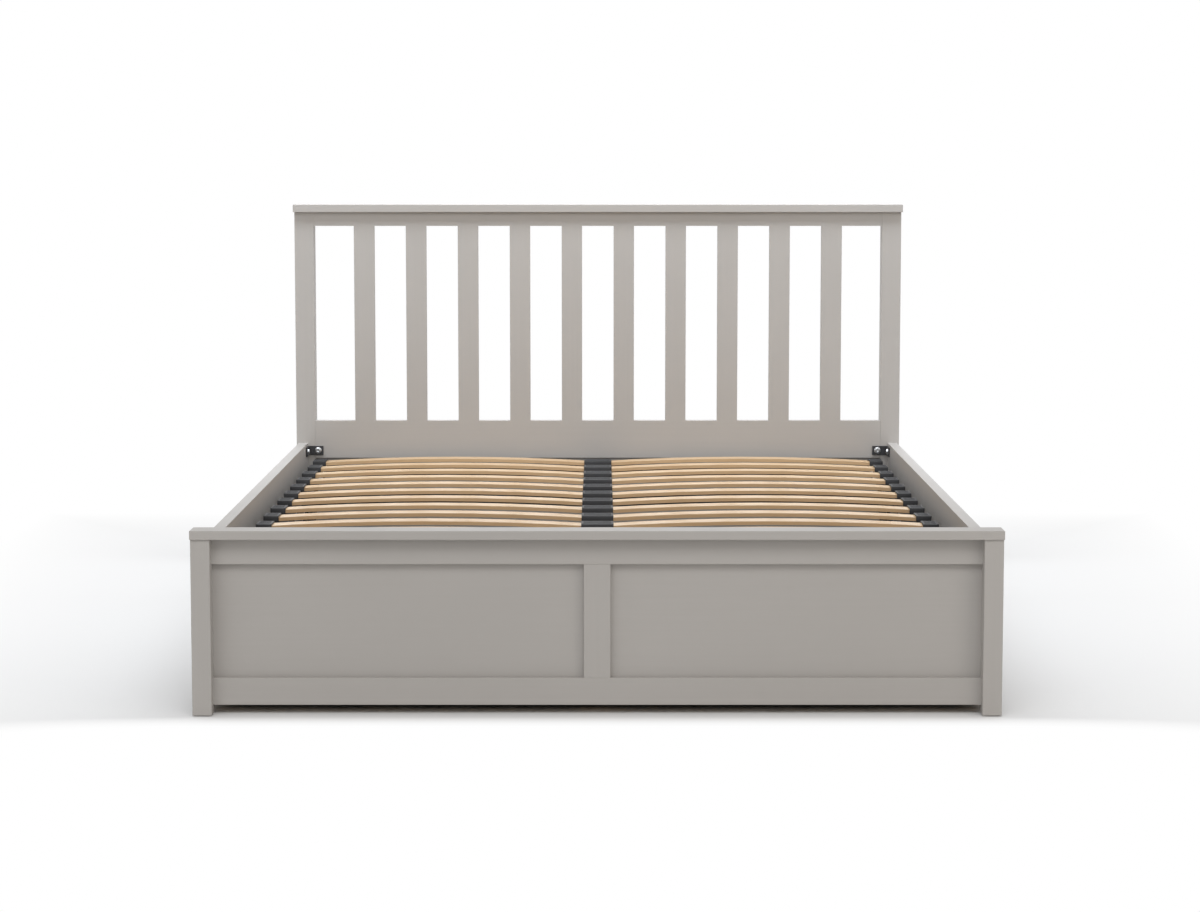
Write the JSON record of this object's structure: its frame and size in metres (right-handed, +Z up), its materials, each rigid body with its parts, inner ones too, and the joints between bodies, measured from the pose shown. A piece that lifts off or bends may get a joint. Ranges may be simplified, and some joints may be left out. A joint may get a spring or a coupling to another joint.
{
  "type": "gas lift bed frame",
  "caption": "Painted wooden bed frame with a slatted headboard and a panelled footboard; its slatted platform lifts on two linkages with gas struts over a storage box.",
  "frame": {"origin": "on the floor under the middle of the bed", "axes": "+X across the bed to the right seen from the foot, +Y from the footboard to the headboard, +Z up"},
  "size_m": [1.6254, 2.155, 0.979],
  "materials": {
    "painted_wood": "satin paint, warm grey",
    "rail_timber": "planed pine",
    "floor_board": "grey faced hardboard",
    "slat_beech": "clear lacquered beech ply",
    "coated_steel": "black powder coat",
    "strut_paint": "gloss black",
    "rod_chrome": "polished",
    "zinc_steel": "bright zinc",
    "black_plastic": "matt moulded",
    "glide_plastic": "smooth",
    "pad_rubber": "matt",
    "strap_webbing": "woven"
  },
  "bodies": {
    "frame": {"base_pins": "zinc_steel", "base_plate_left": "coated_steel", "base_plate_right": "coated_steel", "beam_feet": "black_plastic", "centre_beam": "rail_timber", "corner_angles": "coated_steel", "corner_bolts": "zinc_steel", "floor_ledges": "rail_timber", "footboard_cap": "painted_wood", "footboard_leg_left": "painted_wood", "footboard_leg_right": "painted_wood", "footboard_lower_rail": "painted_wood", "footboard_panel_left": "painted_wood", "footboard_panel_right": "painted_wood", "footboard_stile": "painted_wood", "footboard_top_rail": "painted_wood", "headboard_cap": "painted_wood", "headboard_lower_rail": "painted_wood", "headboard_middle_rail": "painted_wood", "headboard_panel": "painted_wood", "headboard_post_left": "painted_wood", "headboard_post_right": "painted_wood", "headboard_slats": "painted_wood", "headboard_top_rail": "painted_wood", "leg_glides": "glide_plastic", "rest_brackets": "coated_steel", "rest_pads": "pad_rubber", "side_rail_left": "painted_wood", "side_rail_right": "painted_wood", "storage_floor": "floor_board"},
    "front_link_left": {"front_link_left": "coated_steel"},
    "front_link_right": {"front_link_right": "coated_steel"},
    "rear_link_left": {"rear_link_left": "coated_steel"},
    "rear_link_right": {"rear_link_right": "coated_steel"},
    "strut_cylinder_left": {"strut_cylinder_left": "strut_paint"},
    "strut_cylinder_right": {"strut_cylinder_right": "strut_paint"},
    "strut_rod_left": {"strut_rod_left": "rod_chrome"},
    "strut_rod_right": {"strut_rod_right": "rod_chrome"},
    "platform": {"mattress_bar": "coated_steel", "moving_plate_left": "coated_steel", "moving_plate_right": "coated_steel", "platform_centre_tube": "coated_steel", "platform_cross_tubes": "coated_steel", "platform_foot_tube": "coated_steel", "platform_head_tube": "coated_steel", "platform_pins": "zinc_steel", "platform_side_left": "coated_steel", "platform_side_right": "coated_steel", "pull_strap": "strap_webbing", "slat_holders_centre": "black_plastic", "slat_holders_left": "black_plastic", "slat_holders_right": "black_plastic", "sprung_slats_left": "slat_beech", "sprung_slats_right": "slat_beech", "tube_caps": "black_plastic"}
  },
  "joints": [
    {"name": "lift", "type": "hinge", "parent": "frame", "child": "front_link_left", "pos_m": [-0.7644, 0.3735, 0.07], "axis": [1, 0, 0], "range_deg": [0, 41.11]},
    {"name": "platform_tilt", "type": "hinge", "parent": "front_link_left", "child": "platform", "pos_m": [-0.7594, 0.8285, 0.17], "axis": [-1, 0, 0], "range_deg": [0, 76.13]},
    {"name": "front_link_right_turn", "type": "hinge", "parent": "frame", "child": "front_link_right", "pos_m": [0.7644, 0.3735, 0.07], "axis": [1, 0, 0], "range_deg": [0, 41.12]},
    {"name": "rear_link_left_turn", "type": "hinge", "parent": "frame", "child": "rear_link_left", "pos_m": [-0.773, 0.5925, 0.205], "axis": [1, 0, 0], "range_deg": [0, 55.96]},
    {"name": "strut_left_swing", "type": "hinge", "parent": "frame", "child": "strut_cylinder_left", "pos_m": [-0.7449, 0.5675, 0.065], "axis": [1, 0, 0], "range_deg": [0, 42.92]},
    {"name": "strut_left_slide", "type": "slide", "parent": "strut_cylinder_left", "child": "strut_rod_left", "axis": [0, 0.8801, 0.4748], "range_m": [0, 0.097]},
    {"name": "rear_link_right_turn", "type": "hinge", "parent": "frame", "child": "rear_link_right", "pos_m": [0.773, 0.5925, 0.205], "axis": [1, 0, 0], "range_deg": [0, 55.96]},
    {"name": "strut_right_swing", "type": "hinge", "parent": "frame", "child": "strut_cylinder_right", "pos_m": [0.7449, 0.5675, 0.065], "axis": [1, 0, 0], "range_deg": [0, 42.92]},
    {"name": "strut_right_slide", "type": "slide", "parent": "strut_cylinder_right", "child": "strut_rod_right", "axis": [0, 0.8801, 0.4748], "range_m": [0, 0.097]}
  ],
  "couplings": [
    {"joint": "platform_tilt", "follows": "lift", "ratio": 1.8514},
    {"joint": "front_link_right_turn", "follows": "lift", "ratio": 1},
    {"joint": "rear_link_left_turn", "follows": "lift", "ratio": 1.3608},
    {"joint": "strut_left_swing", "follows": "lift", "ratio": 1.0435},
    {"joint": "strut_left_slide", "follows": "lift", "m_per_rad": 0.13512},
    {"joint": "rear_link_right_turn", "follows": "lift", "ratio": 1.3608},
    {"joint": "strut_right_swing", "follows": "lift", "ratio": 1.0435},
    {"joint": "strut_right_slide", "follows": "lift", "m_per_rad": 0.13512}
  ]
}
